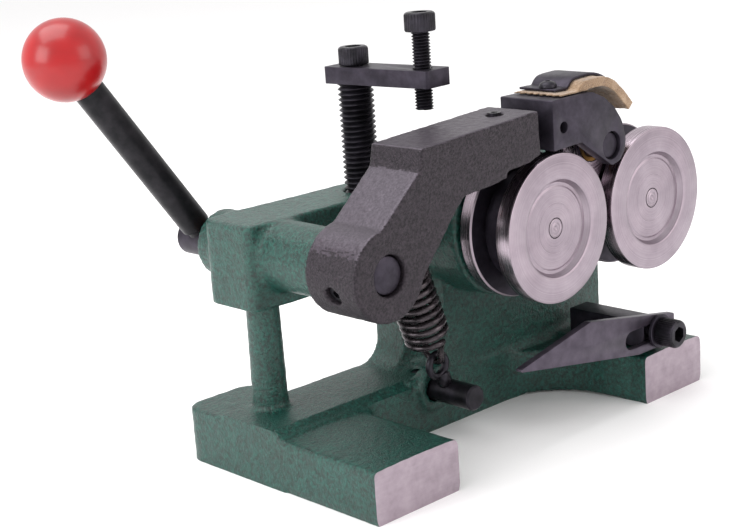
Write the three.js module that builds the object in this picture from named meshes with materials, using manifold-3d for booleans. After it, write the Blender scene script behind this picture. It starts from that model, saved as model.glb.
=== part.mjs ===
// Roller punch-grinding fixture: a cast-iron frame carries two turned disc rollers, a
// spring-loaded press arm with a nip roller, a swivelling stop and a slotted end pointer.
// Millimetres, +Z up, the machined feet face -Y. Dimensions are laid out from the frame's
// corner (left end, front faces, underside); the whole is then shifted so that the origin
// is the middle of the base, on its underside.

import * as THREE from 'three';
import { mergeVertices } from 'three/addons/utils/BufferGeometryUtils.js';
import Module from 'manifold-3d';

const wasm = await Module();
wasm.setup();

// ---------------------------------------------------------------- driving dimensions

const FIT = 0.3; // clearance between neighbouring pieces
const FINE = 36; // facets round a visible turned piece
const PLAIN = 18; // facets round a small or hidden one

const BASE = { length: 164, depth: 93, bar: 20, lobe: 18.5, wall: 42.5, rear: 72 };
const FOOT = { left: 36, right: 33, height: 17.3, crown: 0.3, back: 49, step: 46 };
const RECESS = { x: 103, radius: 26 };
const BRIDGE = { left: 2, front: 52, rear: 76, bottom: 56.5, top: 84.5 };
const BODY = { left: 70.7, step: 77, right: 161, front: 43.5, middle: 62, wall: 57, rear: 72 };
const COLUMN = { x: 15.5, y: 65, radius: 5.9 };

const SHAFT = { x: 15.8, z: 73, radius: 6, front: 5.4, rear: 101 };
const SHAFT_BOSS = { radius: 11.3, front: 26.6, rear: 83 };
const BUSH = { outer: 8.5, length: 14 };

const ROLLER = { left: 94.4, right: 146.6, z: 70.6, radius: 25 };
const DISC = { front: 5.5, thick: 6, rearFront: 22, rearThick: 5, spot: 3.2, drum: 18.7 };
const HOUSING = { front: 28.6, rear: 78, ring: 25.7, barrel: 19, bore: 10 };
const BEARING = { outer: 14, inner: 6.2, width: 8, front: 31, rear: 68 };
const SPINDLE = { radius: 5.9, rear: 91, end: 4.5 };
const PULLEY = { front: 81, width: 9, radius: 13, groove: 10.2 };
const BELT = { radius: 2.1 };
const CRANK = { throw: 20, width: 11, front: 91.5, thick: 4, pin: 2.5, knob: 6, knobLength: 18 };

const ARM = { front: 4, rear: 26, hub: 14.5 };
const ARM_MIDDLE = (ARM.front + ARM.rear) / 2;
const GRUB = { dip: 20, hole: 3, radius: 2.7, length: 6, reach: 6.6 };
const LEVER = { y: 92, tilt: 35.4, radius: 5, reach: 80.6, ball: 12.8 };
const SPRING = { y: 34.6, topX: 41, topZ: 90, lowX: 63.4, lowZ: 26.6, radius: 8, wire: 2.2,
  lowHook: 11, topHook: 9.5 };
const PEG = { radius: 3, head: 4.2, front: 18, rear: 38.4, headThick: 1.9 };
const EYE = { radius: 3.9, wire: 1.3, shank: 2.6, reach: 8.2 };
const ANCHOR = { x: 68.5, z: 15.8, radius: 4.3, front: 22.5, rear: 51.5, boss: 8, bossFront: 40 };

const NIP = { x: 120.5, z: 94, radius: 14.3, front: 12.3, rear: 21.1, axle: 4.5 };
const FORK = { front: 3.7, rear: 26, cheek: 4.5, left: 91, top: 113.4, root: 103.8,
  sideX: 96.2, sideHole: 1.9 };
const TONGUE = { left: 69, width: 10, height: 9, z: 104, play: 2.5, screwX: 75.7, screwHole: 2.5 };
const FLAP = { front: 5, rear: 24.5, thick: 3.4, skived: 0.8, gap: 0.2, left: 95.5, screwX: 102.2,
  screw: 1.7, screwLength: 9 };
const STRAP = { front: 9.5, rear: 25, thick: 0.8, first: 0.6, last: 5.8 };

const POST = { x: 61, y: 63, radius: 6, top: 120.2, depth: 18 };
const STOP = { thick: 5.6, width: 12, behind: 8.5, ahead: 36, screw: 29.3, sweep: 5, screwTip: 113,
  screwLength: 25 };
const M6 = { radius: 3, head: 5, headHeight: 6, hex: 2.9, hexDepth: 3, length: 16 };

const POINTER = { x: 140, z: 24.9, front: 0.9, thick: 2.5, slot: 3.3, slotLeft: 124.9, slotRight: 145 };
const SUPPORT = { left: 135.5, right: 145.5, front: 3.8, rear: 37, bottom: 18.7, top: 28.3,
  hole: 2.8, holeFront: 22, holeRear: 32 };

// ---------------------------------------------------------------- finishes

const finish = (color, roughness, metalness) =>
  new THREE.MeshStandardMaterial({ color, roughness, metalness });

const GREEN = finish('#1f6a58', 0.55, 0.0);
const BLACK_IRON = finish('#453f45', 0.75, 0.3);
const BLACK_OXIDE = finish('#24242a', 0.45, 0.7);
const TURNED = finish('#b9b0b2', 0.35, 1.0);
const BRONZE = finish('#9a7442', 0.4, 1.0);
const RED = finish('#d3222a', 0.15, 0.0);
const LEATHER = finish('#b39a72', 0.9, 0.0);
const RUBBER = finish('#1a1a1a', 0.8, 0.0);

// ---------------------------------------------------------------- solid helpers

const radians = (degrees) => (degrees * Math.PI) / 180;

function toManifold(geometry) {
  const bare = geometry.clone();
  bare.deleteAttribute('normal');
  bare.deleteAttribute('uv');
  const merged = mergeVertices(bare, 1e-4);
  return new wasm.Manifold(new wasm.Mesh({
    numProp: 3,
    vertProperties: new Float32Array(merged.attributes.position.array),
    triVerts: new Uint32Array(merged.index.array),
  }));
}

function toGeometry(solid) {
  const mesh = solid.getMesh();
  const geometry = new THREE.BufferGeometry();
  geometry.setAttribute('position', new THREE.BufferAttribute(mesh.vertProperties, 3));
  geometry.setIndex(new THREE.BufferAttribute(mesh.triVerts, 1));
  geometry.computeVertexNormals();
  return geometry;
}

function join(...geometries) {
  return toGeometry(geometries.map(toManifold).reduce((a, b) => a.add(b)));
}

function cut(body, ...tools) {
  return toGeometry(tools.map(toManifold).reduce((a, b) => a.subtract(b), toManifold(body)));
}

function box(x0, x1, y0, y1, z0, z1) {
  const geometry = new THREE.BoxGeometry(x1 - x0, y1 - y0, z1 - z0);
  return geometry.translate((x0 + x1) / 2, (y0 + y1) / 2, (z0 + z1) / 2);
}

// A cylinder along Y, from y0 to y1, on the axis (x, z).
function rodY(radius, y0, y1, x = 0, z = 0, facets = PLAIN) {
  const geometry = new THREE.CylinderGeometry(radius, radius, y1 - y0, facets);
  return geometry.translate(x, (y0 + y1) / 2, z);
}

// A cylinder or cone along Z, from z0 to z1, on the axis (x, y).
function rodZ(radius, z0, z1, x = 0, y = 0, facets = PLAIN, topRadius = radius) {
  const geometry = new THREE.CylinderGeometry(topRadius, radius, z1 - z0, facets);
  return geometry.rotateX(Math.PI / 2).translate(x, y, (z0 + z1) / 2);
}

// A profile of [radius, height] corners turned about Z.
function turned(profile, facets = FINE) {
  const points = [...profile, profile[0]].map(([r, h]) => new THREE.Vector2(r, h));
  return new THREE.LatheGeometry(points, facets).rotateX(Math.PI / 2);
}

// The same profile turned about Y, its heights measured towards the rear.
function turnedY(profile, facets = FINE) {
  const points = [...profile, profile[0]].map(([r, h]) => new THREE.Vector2(r, h));
  return new THREE.LatheGeometry(points, facets);
}

// An outline in X and Z, as [x, z] corners, made solid from y0 to y1.
function slabY(outline, y0, y1, curveSegments = 8) {
  const shape = outline instanceof THREE.Shape ? outline : polygon(outline);
  const geometry = new THREE.ExtrudeGeometry(shape, {
    depth: y1 - y0, bevelEnabled: false, curveSegments,
  });
  return geometry.rotateX(Math.PI / 2).translate(0, y1, 0);
}

// An outline in X and Y made solid from z0 to z1.
function slabZ(outline, z0, z1, curveSegments = 8) {
  const shape = outline instanceof THREE.Shape ? outline : polygon(outline);
  const geometry = new THREE.ExtrudeGeometry(shape, {
    depth: z1 - z0, bevelEnabled: false, curveSegments,
  });
  return geometry.translate(0, 0, z0);
}

function polygon(corners) {
  return new THREE.Shape(corners.map(([x, y]) => new THREE.Vector2(x, y)));
}

// A closed outline whose corners are [x, y, radius], each one rounded by its radius.
function rounded(corners) {
  const shape = new THREE.Shape();
  const at = (index) => corners[(index + corners.length) % corners.length];
  corners.forEach(([x, y, radius = 0], index) => {
    const corner = new THREE.Vector2(x, y);
    const before = new THREE.Vector2(...at(index - 1).slice(0, 2)).sub(corner).normalize();
    const after = new THREE.Vector2(...at(index + 1).slice(0, 2)).sub(corner).normalize();
    const half = before.angleTo(after) / 2;
    const setback = radius / Math.tan(half);
    const start = corner.clone().addScaledVector(before, setback);
    const end = corner.clone().addScaledVector(after, setback);
    if (index === 0) shape.moveTo(start.x, start.y);
    else shape.lineTo(start.x, start.y);
    if (radius > 0) {
      const bisector = before.add(after).normalize();
      const centre = corner.clone().addScaledVector(bisector, radius / Math.sin(half));
      const from = Math.atan2(start.y - centre.y, start.x - centre.x);
      const to = Math.atan2(end.y - centre.y, end.x - centre.x);
      const turn = Math.atan2(Math.sin(to - from), Math.cos(to - from));
      shape.absarc(centre.x, centre.y, radius, from, from + turn, turn < 0);
    }
  });
  shape.closePath();
  return shape;
}

function piece(name, geometry, material, x = 0, y = 0, z = 0) {
  const mesh = new THREE.Mesh(geometry, material);
  mesh.name = name;
  mesh.position.set(x, y, z);
  return mesh;
}

// A socket head cap screw standing on its tip at z = 0, with its head on top.
function capScrew(length, size = M6, headHeight = size.headHeight) {
  const top = length + headHeight;
  const bodyShape = turned([[0, 0], [size.radius - 0.5, 0], [size.radius, 0.6],
    [size.radius, length], [size.head, length], [size.head, top - 0.5],
    [size.head - 0.5, top], [0, top]], PLAIN);
  return cut(bodyShape, rodZ(size.hex, top - size.hexDepth, top + 1, 0, 0, 6));
}

// A headless set screw standing on its tip at z = 0.
function setScrew(length, radius, hex) {
  const bodyShape = turned([[0, 0], [radius - 0.6, 0], [radius, 0.8], [radius, length],
    [0, length]], PLAIN);
  return cut(bodyShape, rodZ(hex, length - 2, length + 1, 0, 0, 6));
}

// ---------------------------------------------------------------- frame casting

// One foot, its crowned front outline drawn back from the machined face.
function foot(left, width) {
  const top = FOOT.height;
  const shape = new THREE.Shape();
  shape.moveTo(left + 2, 0);
  shape.lineTo(left + width - 2, 0);
  shape.quadraticCurveTo(left + width, 0, left + width, 2.5);
  shape.lineTo(left + width, top - 2.4);
  shape.quadraticCurveTo(left + width, top - 0.2, left + width - 2.4, top);
  shape.quadraticCurveTo(left + width / 2, top + 2 * FOOT.crown, left + 1.2, top);
  shape.quadraticCurveTo(left, top, left, top - 1.2);
  shape.lineTo(left, 2.5);
  shape.quadraticCurveTo(left, 0, left + 2, 0);
  return slabY(shape, 0, FOOT.back, 5);
}

function base() {
  const L = BASE.length;
  const lobeInner = 30;
  const slab = slabZ(rounded([[0, BASE.wall, 0], [L, BASE.wall, 0], [L, BASE.depth, 7],
    [L - lobeInner, BASE.depth, 7], [L - lobeInner, BASE.rear, 3],
    [lobeInner, BASE.rear, 3], [lobeInner, BASE.depth, 7], [0, BASE.depth, 7]]),
  0, BASE.lobe, 4);
  const bar = box(0, L, FOOT.step, BASE.rear, 10, BASE.bar);
  const footLeft = L - FOOT.right;
  const { x, radius } = RECESS;
  const sweep = new THREE.Shape();
  sweep.moveTo(x, BASE.wall + 3);
  sweep.lineTo(x, BASE.wall);
  sweep.absarc(x, BASE.wall - radius, radius, Math.PI / 2, 0, true);
  sweep.lineTo(footLeft + 1, 1);
  sweep.lineTo(footLeft + 12, 1);
  sweep.lineTo(footLeft + 12, BASE.wall + 3);
  const innerCorner = new THREE.Shape();
  innerCorner.moveTo(FOOT.left - 5, BASE.wall + 3);
  innerCorner.lineTo(FOOT.left - 5, BASE.wall - 7);
  innerCorner.lineTo(FOOT.left, BASE.wall - 7);
  innerCorner.absarc(FOOT.left + 7, BASE.wall - 7, 7, Math.PI, Math.PI / 2, true);
  innerCorner.lineTo(FOOT.left + 7, BASE.wall + 3);
  const pad = box(SUPPORT.left - 1, SUPPORT.right + 1, SUPPORT.front + 1, BASE.wall + 2, 8,
    SUPPORT.bottom - FIT);
  return join(slab, bar, foot(0, FOOT.left), foot(footLeft, FOOT.right),
    slabZ(sweep, 0.5, FOOT.height - 0.5, 5), slabZ(innerCorner, 0.5, FOOT.height - 0.5, 4), pad);
}

function bodyWalls() {
  const { bar } = BASE;
  const rearWall = rounded([[BODY.right, 5, 0], [BODY.right, BRIDGE.top, 7],
    [BODY.left, BRIDGE.top, 0], [BODY.left, bar, 9], [BODY.left - 12, bar, 0],
    [BODY.left - 12, 5, 0]]);
  const frontMass = rounded([[BODY.right, 5, 0], [BODY.right, BRIDGE.top, 7],
    [BODY.step, BRIDGE.top, 5], [BODY.step, bar, 14], [BODY.step - 18, bar, 0],
    [BODY.step - 18, 5, 0]]);
  return join(slabY(rearWall, BODY.wall, BODY.rear),
    slabY(frontMass, BODY.front, BODY.middle));
}

function bridge() {
  const { left, front, rear, bottom, top } = BRIDGE;
  const block = slabZ(rounded([[left, front, 3], [BODY.left + 4, front, 0],
    [BODY.left + 4, rear, 0], [left, rear, 4]]), bottom, top, 4);
  const column = rodZ(COLUMN.radius + 0.3, BASE.bar - 4, bottom + 2, COLUMN.x, COLUMN.y,
    PLAIN, COLUMN.radius - 0.3);
  const boss = rodY(SHAFT_BOSS.radius, SHAFT_BOSS.front, SHAFT_BOSS.rear, SHAFT.x, SHAFT.z,
    FINE);
  return join(block, column, boss);
}

function housings() {
  const one = (x) => join(
    rodY(HOUSING.ring, HOUSING.front, BODY.front + 3, x, ROLLER.z, FINE),
    rodY(HOUSING.barrel, BODY.front + 1, HOUSING.rear, x, ROLLER.z, FINE));
  return join(one(ROLLER.left), one(ROLLER.right));
}

function frameCasting() {
  const raw = join(base(), bodyWalls(), bridge(), housings(),
    rodY(ANCHOR.boss, ANCHOR.bossFront, BASE.wall + 3, ANCHOR.x, ANCHOR.z));
  const bores = [ROLLER.left, ROLLER.right].flatMap((x) => [
    rodY(HOUSING.bore, 20, 90, x, ROLLER.z, FINE),
    rodY(BEARING.outer + FIT, 20, BEARING.front + BEARING.width + FIT, x, ROLLER.z, FINE),
    rodY(BEARING.outer + FIT, BEARING.rear - FIT, 90, x, ROLLER.z, FINE),
  ]);
  return cut(raw, ...bores,
    rodY(SHAFT.radius + FIT, 20, 90, SHAFT.x, SHAFT.z, PLAIN),
    rodY(BUSH.outer + FIT, 20, SHAFT_BOSS.front + BUSH.length + FIT, SHAFT.x, SHAFT.z),
    rodY(BUSH.outer + FIT, SHAFT_BOSS.rear - BUSH.length - FIT, 90, SHAFT.x, SHAFT.z),
    rodZ(POST.radius + FIT, BRIDGE.top - POST.depth, BRIDGE.top + 5, POST.x, POST.y),
    rodY(ANCHOR.radius + FIT, 30, ANCHOR.rear + 0.5, ANCHOR.x, ANCHOR.z));
}

// ---------------------------------------------------------------- disc rollers

// The front disc: a flat rim, a ring-shaped step and a shallow dished middle.
function frontDisc() {
  const R = ROLLER.radius;
  const back = DISC.thick;
  return turnedY([[DISC.spot + FIT, 1.7], [0.55 * R, 1.7], [0.58 * R, 2], [0.63 * R, 2],
    [0.67 * R, 0], [R - 0.5, 0], [R, 0.5], [R, back - 0.5], [R - 0.5, back],
    [DISC.spot + FIT, back]]);
}

function rearDisc() {
  const R = ROLLER.radius;
  const hole = SPINDLE.radius + FIT;
  return turnedY([[hole, 0], [R - 0.5, 0], [R, 0.5], [R, DISC.rearThick - 0.5],
    [R - 0.5, DISC.rearThick], [hole, DISC.rearThick]]);
}

// The spindle; one that takes the crank has a thinner end beyond the pulley.
function spindle(end = 0) {
  const shoulder = DISC.thick + FIT;
  const length = SPINDLE.rear - DISC.front;
  const tail = end > 0 ? [[SPINDLE.end, length], [SPINDLE.end, length + end], [0, length + end]]
    : [[SPINDLE.radius - 1, length], [0, length]];
  return turnedY([[0, 1.5], [DISC.spot, 1.5], [DISC.spot, shoulder],
    [SPINDLE.radius, shoulder], [SPINDLE.radius, length - 1], ...tail], PLAIN);
}

function ring(inner, outer, width, facets = PLAIN) {
  return turnedY([[inner, 0], [outer, 0], [outer, width], [inner, width]], facets);
}

function pulley() {
  const { width, radius, groove } = PULLEY;
  const hole = SPINDLE.radius + FIT;
  return turnedY([[hole, 0], [radius, 0], [radius, 1], [groove, width / 2 - 1],
    [groove, width / 2 + 1], [radius, width - 1], [radius, width], [hole, width]], 36);
}

function snapRing() {
  const gapHalf = 0.22;
  const shape = new THREE.Shape();
  shape.absarc(0, 0, 8.2, gapHalf, 2 * Math.PI - gapHalf, false);
  shape.absarc(0, 0, SPINDLE.radius + FIT, 2 * Math.PI - gapHalf, gapHalf, true);
  return slabY(shape, 0, 1.2, 18);
}

function rollerSet(side, x, spindleEnd = 0) {
  const set = new THREE.Group();
  set.position.set(x, 0, ROLLER.z);
  const { front, thick, rearFront, rearThick } = DISC;
  const gapFront = front + thick + FIT;
  const gapRear = rearFront - FIT;
  set.add(
    piece(`${side}_front_disc`, frontDisc(), TURNED, 0, front),
    piece(`${side}_rear_disc`, rearDisc(), TURNED, 0, rearFront),
    piece(`${side}_disc_spacer`, ring(SPINDLE.radius + FIT, DISC.drum, gapRear - gapFront, FINE),
      BLACK_OXIDE, 0, gapFront),
    piece(`${side}_spindle`, spindle(spindleEnd), TURNED, 0, front),
    piece(`${side}_thrust_washer`, ring(SPINDLE.radius + FIT, 8.5, 3.2), BRONZE, 0,
      rearFront + rearThick + FIT),
    piece(`${side}_bearing_front`, ring(BEARING.inner, BEARING.outer, BEARING.width), TURNED,
      0, BEARING.front),
    piece(`${side}_bearing_rear`, ring(BEARING.inner, BEARING.outer, BEARING.width), TURNED,
      0, BEARING.rear),
    piece(`${side}_snap_ring`, snapRing(), BLACK_OXIDE, 0, BEARING.rear + BEARING.width + FIT),
    piece(`${side}_pulley`, pulley(), BLACK_OXIDE, 0, PULLEY.front));
  return set;
}

// The round belt in both pulley grooves: a racetrack path with a round section.
function driveBelt() {
  const run = PULLEY.groove + FIT + BELT.radius;
  const span = ROLLER.right - ROLLER.left;
  const steps = 16;
  const points = [];
  for (let i = 0; i <= steps; i += 1) {
    const angle = Math.PI / 2 + (Math.PI * i) / steps;
    points.push([run * Math.cos(angle), run * Math.sin(angle)]);
  }
  for (let i = 0; i <= steps; i += 1) {
    const angle = -Math.PI / 2 + (Math.PI * i) / steps;
    points.push([span + run * Math.cos(angle), run * Math.sin(angle)]);
  }
  const offset = BELT.radius;
  const outline = (grow) => points.map(([x, z]) => {
    const centre = x > span / 2 ? span : 0;
    const scale = (run + grow) / run;
    return [centre + (x - centre) * scale, z * scale];
  });
  const layer = (grow, half) => cut(slabY(outline(grow), -half, half),
    slabY(outline(-grow), -half - 1, half + 1));
  return join(layer(offset, offset * 0.5), layer(offset * 0.5, offset));
}

function crankArm() {
  const half = CRANK.width / 2;
  const web = slabY(rounded([[-half, -half, half - 0.01], [CRANK.throw + half, -half, half - 0.01],
    [CRANK.throw + half, half, half - 0.01], [-half, half, half - 0.01]]), 0, CRANK.thick, 8);
  return cut(web, rodY(SPINDLE.end + FIT, -1, CRANK.thick + 1),
    rodY(CRANK.pin + FIT, -1, CRANK.thick + 1, CRANK.throw));
}

// The crank on the left spindle: arm, a shouldered pin and the knob that spins on it.
function crankSet() {
  const set = new THREE.Group();
  set.position.set(ROLLER.left, CRANK.front, ROLLER.z);
  set.rotation.y = Math.PI / 2; // the crank hangs straight down
  const knobFront = CRANK.thick + FIT;
  const knobRear = knobFront + CRANK.knobLength;
  const pin = turnedY([[0, -0.3], [CRANK.pin, -0.3], [CRANK.pin, knobRear - 3],
    [4.6, knobRear - 2.7], [4.6, knobRear - 0.7], [0, knobRear - 0.7]], PLAIN);
  const hole = CRANK.pin + FIT;
  const knob = turnedY([[hole, 0], [CRANK.knob - 1.4, 0], [CRANK.knob - 0.4, 3],
    [CRANK.knob, 8], [CRANK.knob - 0.3, CRANK.knobLength - 2],
    [CRANK.knob - 0.9, CRANK.knobLength], [4.9, CRANK.knobLength],
    [4.9, CRANK.knobLength - 3.3], [hole, CRANK.knobLength - 3.3]], 32);
  set.add(piece('crank_arm', crankArm(), BLACK_OXIDE),
    piece('crank_pin', pin, BLACK_OXIDE, CRANK.throw),
    piece('crank_knob', knob, RUBBER, CRANK.throw, knobFront),
    piece('crank_nut', cut(turnedY([[0, 0], [7, 0], [7, 3], [0, 3]], 6), rodY(3.3, -1, 5)),
      BLACK_OXIDE, 0, CRANK.thick + FIT));
  return set;
}

// ---------------------------------------------------------------- press arm

function pressArm() {
  const { x, z } = SHAFT;
  const leg = polygon([[5, 79.5], [17.3, 90.3], [30.2, 101.5], [31.7, 108.2], [84.6, 111.3],
    [85.2, 97], [79, 95], [69, 94.4], [68.8, 92.4], [63, 91.3], [49.5, 90.4], [46, 87.6],
    [24.5, 63.2]]);
  const raw = join(slabY(leg, ARM.front, ARM.rear),
    rodY(ARM.hub, ARM.front, ARM.rear, x, z, FINE));
  const grubHole = rodZ(GRUB.hole, 0, 20, 0, 0, PLAIN).rotateY(radians(-90 - GRUB.dip))
    .translate(x, ARM_MIDDLE, z);
  const slotZ = TONGUE.z;
  return cut(raw, rodY(SHAFT.radius + FIT, 0, 30, x, z, FINE), grubHole,
    box(TONGUE.left - TONGUE.play, FORK.left, ARM_MIDDLE - TONGUE.width / 2 - FIT,
      ARM_MIDDLE + TONGUE.width / 2 + FIT, slotZ - TONGUE.height / 2 - FIT,
      slotZ + TONGUE.height / 2 + FIT),
    rodZ(TONGUE.screwHole + FIT, slotZ, 120, TONGUE.screwX, ARM_MIDDLE),
    rodY(PEG.radius + FIT, PEG.front - 2, ARM.rear + 5, SPRING.topX, SPRING.topZ));
}

function forkBracket() {
  const outline = rounded([[FORK.left, 97, 0.5], [105, 97.6, 1], [NIP.x, 87.2, 2],
    [NIP.x + 4.2, 88.2, 2], [NIP.x + 6.7, 91, 3], [NIP.x + 7.8, 95, 5],
    [NIP.x + 5.7, 101.8, 7], [NIP.x + 2, 106.6, 7], [NIP.x - 3.3, 110.7, 6],
    [NIP.x - 9.5, FORK.top, 5], [FORK.left, FORK.top, 0.5]]);
  const block = slabY(outline, FORK.front, FORK.rear, 4);
  const tongue = box(TONGUE.left, FORK.left + 2, ARM_MIDDLE - TONGUE.width / 2,
    ARM_MIDDLE + TONGUE.width / 2, TONGUE.z - TONGUE.height / 2, TONGUE.z + TONGUE.height / 2);
  const fork = box(FORK.root, 140, FORK.front + FORK.cheek, FORK.rear - FORK.cheek, 70, 130);
  return cut(join(block, tongue), fork,
    rodY(NIP.axle + FIT, 0, 30, NIP.x, NIP.z),
    rodY(FORK.sideHole, 0, 12, FORK.sideX, TONGUE.z),
    rodZ(FLAP.screw + FIT, TONGUE.z + 2, 120, FLAP.screwX, ARM_MIDDLE));
}

// The flap's centre line as [x, z, thickness]: skived thin under the screw, then thick,
// arched over the nip roller and drooping at its end.
function flapLine() {
  const { thick, skived, gap } = FLAP;
  const low = FORK.top + gap + skived / 2;
  const high = FORK.top + gap + thick / 2;
  return [[FLAP.left, low, skived], [FLAP.screwX, low, skived],
    [FLAP.screwX + 3.5, low, skived], [109, high, thick], [114, high + 0.4, thick],
    [119.5, high + 0.2, thick], [125, high - 2.2, thick], [129.8, high - 6.6, thick],
    [133.4, high - 10.3, thick]];
}

// A strip that follows a centre line between two of its points. Its two faces lie at the
// distances below(half) and above(half) from that line, half being half its thickness.
function strip(line, first, last, below, above, y0, y1) {
  const curve = new THREE.SplineCurve(line.map(([x, z]) => new THREE.Vector2(x, z)));
  const spans = line.length - 1;
  const steps = 18;
  const face = (distance) => Array.from({ length: steps + 1 }, (_, i) => {
    const place = first + ((last - first) * i) / steps;
    const index = Math.min(Math.floor(place), spans - 1);
    const half = THREE.MathUtils.lerp(line[index][2], line[index + 1][2], place - index) / 2;
    const at = curve.getPoint(place / spans);
    const tangent = curve.getTangent(place / spans);
    return [at.x - tangent.y * distance(half), at.y + tangent.x * distance(half)];
  });
  return slabY([...face(above), ...face(below).reverse()], y0, y1);
}

function leatherFlap() {
  const line = flapLine();
  const flap = strip(line, 0, line.length - 1, (half) => -half, (half) => half,
    FLAP.front, FLAP.rear);
  return cut(flap, rodZ(FLAP.screw + FIT, 105, 125, FLAP.screwX, ARM_MIDDLE));
}

// The strap that holds the flap down, from under the screw's head to the droop.
function clampPlate() {
  const plate = strip(flapLine(), STRAP.first, STRAP.last, (half) => half + FLAP.gap,
    (half) => half + FLAP.gap + STRAP.thick, STRAP.front, STRAP.rear);
  return cut(plate, rodZ(FLAP.screw + FIT, 105, 125, FLAP.screwX, ARM_MIDDLE));
}

// A round-head screw standing on its tip at z = 0.
function roundScrew(length, radius, head) {
  return turned([[0, 0], [radius, 0], [radius, length], [head, length],
    [head * 0.85, length + head * 0.4], [head * 0.5, length + head * 0.62],
    [0, length + head * 0.7]], PLAIN);
}

function leverBall() {
  const r = LEVER.ball;
  const ball = new THREE.SphereGeometry(r, 32, 20).rotateX(Math.PI / 2);
  return cut(ball, rodZ(LEVER.radius + FIT, -r - 2, -r + 10));
}

function armSet() {
  const set = new THREE.Group();
  const shaftLength = SHAFT.rear - SHAFT.front;
  const shaftRod = turned([[0, 0], [SHAFT.radius - 0.5, 0], [SHAFT.radius, 0.5],
    [SHAFT.radius, shaftLength - 0.5], [SHAFT.radius - 0.5, shaftLength], [0, shaftLength]], 32)
    .rotateX(-Math.PI / 2);
  const crossHole = rodZ(LEVER.radius - 1 + FIT, 0, 20).rotateY(radians(-LEVER.tilt))
    .translate(0, LEVER.y - SHAFT.front, 0);
  const lever = new THREE.Group();
  lever.position.set(SHAFT.x, LEVER.y, SHAFT.z);
  lever.rotation.y = radians(-LEVER.tilt);
  const ballLow = LEVER.reach - LEVER.ball;
  lever.add(
    piece('lever_rod', turned([[0, 1.5], [LEVER.radius - 1, 1.5], [LEVER.radius - 1, 6.6],
      [LEVER.radius, 7.2], [LEVER.radius, ballLow + 9], [0, ballLow + 9]], PLAIN),
    BLACK_OXIDE),
    piece('lever_ball', leverBall(), RED, 0, 0, LEVER.reach));
  const pin = join(rodY(PEG.radius, PEG.front, PEG.rear - 0.2),
    rodY(PEG.head, PEG.rear - PEG.headThick, PEG.rear));
  const grub = setScrew(GRUB.length, GRUB.radius, 1.5).rotateY(radians(-90 - GRUB.dip));
  set.add(lever,
    piece('press_arm', pressArm(), BLACK_IRON),
    piece('arm_shaft', cut(shaftRod, crossHole), BLACK_OXIDE, SHAFT.x, SHAFT.front, SHAFT.z),
    piece('hub_set_screw', grub, BLACK_OXIDE,
      SHAFT.x - GRUB.reach * Math.cos(radians(GRUB.dip)), ARM_MIDDLE,
      SHAFT.z - GRUB.reach * Math.sin(radians(GRUB.dip))),
    piece('spring_peg', pin, BLACK_OXIDE, SPRING.topX, 0, SPRING.topZ),
    piece('bracket_set_screw', setScrew(2.6, 2.2, 1.2), BLACK_OXIDE, TONGUE.screwX, ARM_MIDDLE,
      TONGUE.z + TONGUE.height / 2 + FIT));
  return set;
}

function nipSet() {
  const set = new THREE.Group();
  const z = FORK.top + 3 * FLAP.gap + FLAP.skived + STRAP.thick;
  const axle = turnedY([[0, 0.8], [NIP.axle - 0.6, 0.8], [NIP.axle, 1.4], [NIP.axle, 20.8],
    [0, 20.8]], PLAIN);
  set.add(
    piece('fork_bracket', forkBracket(), BLACK_OXIDE),
    piece('nip_axle', axle, BLACK_OXIDE, NIP.x, FORK.front + 0.3, NIP.z),
    piece('nip_roller', ring(NIP.axle + 1.6 + FIT, NIP.radius, NIP.rear - NIP.front, 36),
      TURNED, NIP.x, NIP.front, NIP.z),
    piece('nip_bush', ring(NIP.axle + FIT, NIP.axle + 1.6, NIP.rear - NIP.front), BRONZE,
      NIP.x, NIP.front, NIP.z),
    piece('leather_flap', leatherFlap(), LEATHER),
    piece('flap_clamp_plate', clampPlate(), BLACK_OXIDE),
    piece('flap_screw', roundScrew(FLAP.screwLength, FLAP.screw, 3), BLACK_OXIDE,
      FLAP.screwX, ARM_MIDDLE, z - FLAP.screwLength));
  return set;
}

// ---------------------------------------------------------------- spring and its anchor

function springSet() {
  const set = new THREE.Group();
  const dx = SPRING.topX - SPRING.lowX;
  const dz = SPRING.topZ - SPRING.lowZ;
  const length = Math.hypot(dx, dz);
  const coil = ring(SPRING.radius - SPRING.wire, SPRING.radius,
    length - SPRING.lowHook - SPRING.topHook)
    .rotateX(Math.PI / 2);
  const line = new THREE.Group();
  line.position.set(SPRING.lowX, SPRING.y, SPRING.lowZ);
  line.rotation.y = Math.atan2(dx, dz);
  const eye = join(new THREE.TorusGeometry(EYE.radius, EYE.wire, 10, 24),
    rodY(EYE.shank, -EYE.reach, 0.5 - EYE.radius)).rotateX(Math.PI / 2);
  line.add(piece('tension_spring', coil, BLACK_OXIDE, 0, 0, SPRING.lowHook));
  const low = new THREE.Group();
  low.position.set(SPRING.lowX, SPRING.y, SPRING.lowZ);
  low.rotation.y = Math.atan2(SPRING.lowX - ANCHOR.x, SPRING.lowZ - ANCHOR.z);
  low.add(piece('anchor_eye_screw', eye, BLACK_OXIDE));
  const anchor = cut(rodY(ANCHOR.radius, ANCHOR.front, ANCHOR.rear, ANCHOR.x, ANCHOR.z),
    rodZ(EYE.shank + FIT, 0, 20).rotateY(low.rotation.y).translate(ANCHOR.x, SPRING.y,
      ANCHOR.z));
  set.add(line, low, piece('spring_anchor_pin', anchor, BLACK_OXIDE));
  return set;
}

// ---------------------------------------------------------------- stop and pointer

function stopBar() {
  const half = STOP.width / 2;
  const bar = slabZ(rounded([[-half, -STOP.ahead, 1.2], [half, -STOP.ahead, 1.2],
    [half, STOP.behind, 1.2], [-half, STOP.behind, 1.2]]), 0, STOP.thick, 4);
  return cut(bar, rodZ(M6.radius + FIT, -1, 10), rodZ(M6.radius + FIT, -1, 10, 0, -STOP.screw));
}

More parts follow.
